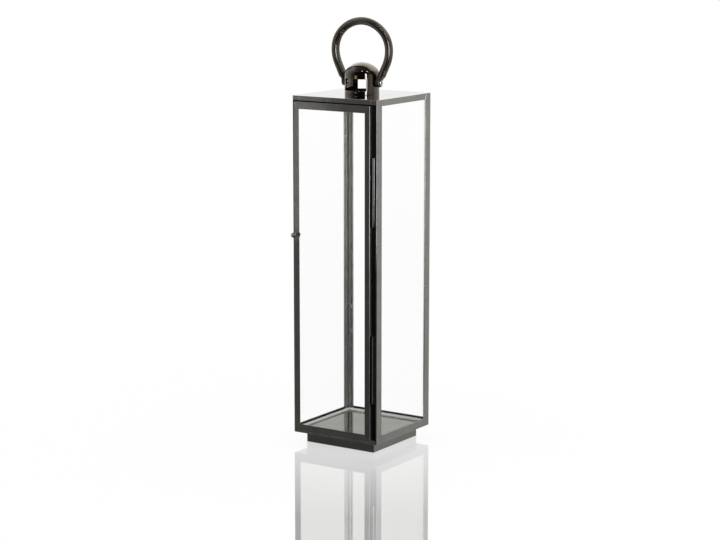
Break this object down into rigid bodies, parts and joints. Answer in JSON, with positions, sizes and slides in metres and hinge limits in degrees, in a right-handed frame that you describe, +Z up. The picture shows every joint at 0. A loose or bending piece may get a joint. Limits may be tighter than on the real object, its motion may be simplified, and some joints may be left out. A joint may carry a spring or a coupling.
{
  "type": "candle lantern",
  "caption": "Tall square candle lantern of polished black metal with glass sides, a hinged glass door with a turn latch, a domed chimney cap and a swinging ring handle.",
  "frame": {"origin": "middle of the plinth's flat underside", "axes": "+Z up, door face towards -Y, door hinges towards +X"},
  "size_m": [0.15, 0.1607, 0.6482],
  "materials": {
    "black_nickel": "polished black nickel on sheet steel",
    "dark_nickel": "mirror-polished dark nickel",
    "bright_steel": "satin steel",
    "clear_glass": "clear float glass"
  },
  "bodies": {
    "lantern_body": {"back_bottom_rail": "black_nickel", "back_left_post": "black_nickel", "back_pane": "clear_glass", "back_pane_tabs": "black_nickel", "back_right_post": "black_nickel", "back_top_rail": "black_nickel", "chimney_cap": "dark_nickel", "floor_plate": "black_nickel", "front_fascia": "black_nickel", "front_left_post": "black_nickel", "front_right_post": "black_nickel", "front_sill": "black_nickel", "hinge_side_stop": "black_nickel", "latch_side_stop": "black_nickel", "left_bottom_rail": "black_nickel", "left_pane": "clear_glass", "left_pane_tabs": "black_nickel", "left_pivot_rivet": "dark_nickel", "left_top_rail": "black_nickel", "lower_hinge_frame_leaf": "bright_steel", "lower_hinge_pin": "bright_steel", "plinth": "black_nickel", "right_bottom_rail": "black_nickel", "right_pane": "clear_glass", "right_pane_tabs": "black_nickel", "right_pivot_rivet": "dark_nickel", "right_top_rail": "black_nickel", "top_plate": "black_nickel", "upper_hinge_frame_leaf": "bright_steel", "upper_hinge_pin": "bright_steel"},
    "door": {"door_bottom_rail": "black_nickel", "door_hinge_stile": "black_nickel", "door_latch_stile": "black_nickel", "door_pane": "clear_glass", "door_pane_tabs": "black_nickel", "door_top_rail": "black_nickel", "lower_hinge_door_leaf": "bright_steel", "upper_hinge_door_leaf": "bright_steel"},
    "latch": {"latch_knob": "bright_steel", "latch_spindle": "bright_steel", "latch_tongue": "bright_steel"},
    "handle": {"ring_handle": "dark_nickel"}
  },
  "joints": [
    {"name": "door_swing", "type": "hinge", "parent": "lantern_body", "child": "door", "pos_m": [0.0682, -0.0724, 0.2722], "axis": [0, 0, 1], "range_deg": [0, 110]},
    {"name": "latch_turn", "type": "hinge", "parent": "door", "child": "latch", "pos_m": [-0.0693, -0.075, 0.3235], "axis": [0, 1, 0], "range_deg": [0, 90]},
    {"name": "ring_swing", "type": "hinge", "parent": "lantern_body", "child": "handle", "pos_m": [0, 0, 0.552], "axis": [1, 0, 0], "range_deg": [-95, 95]}
  ]
}
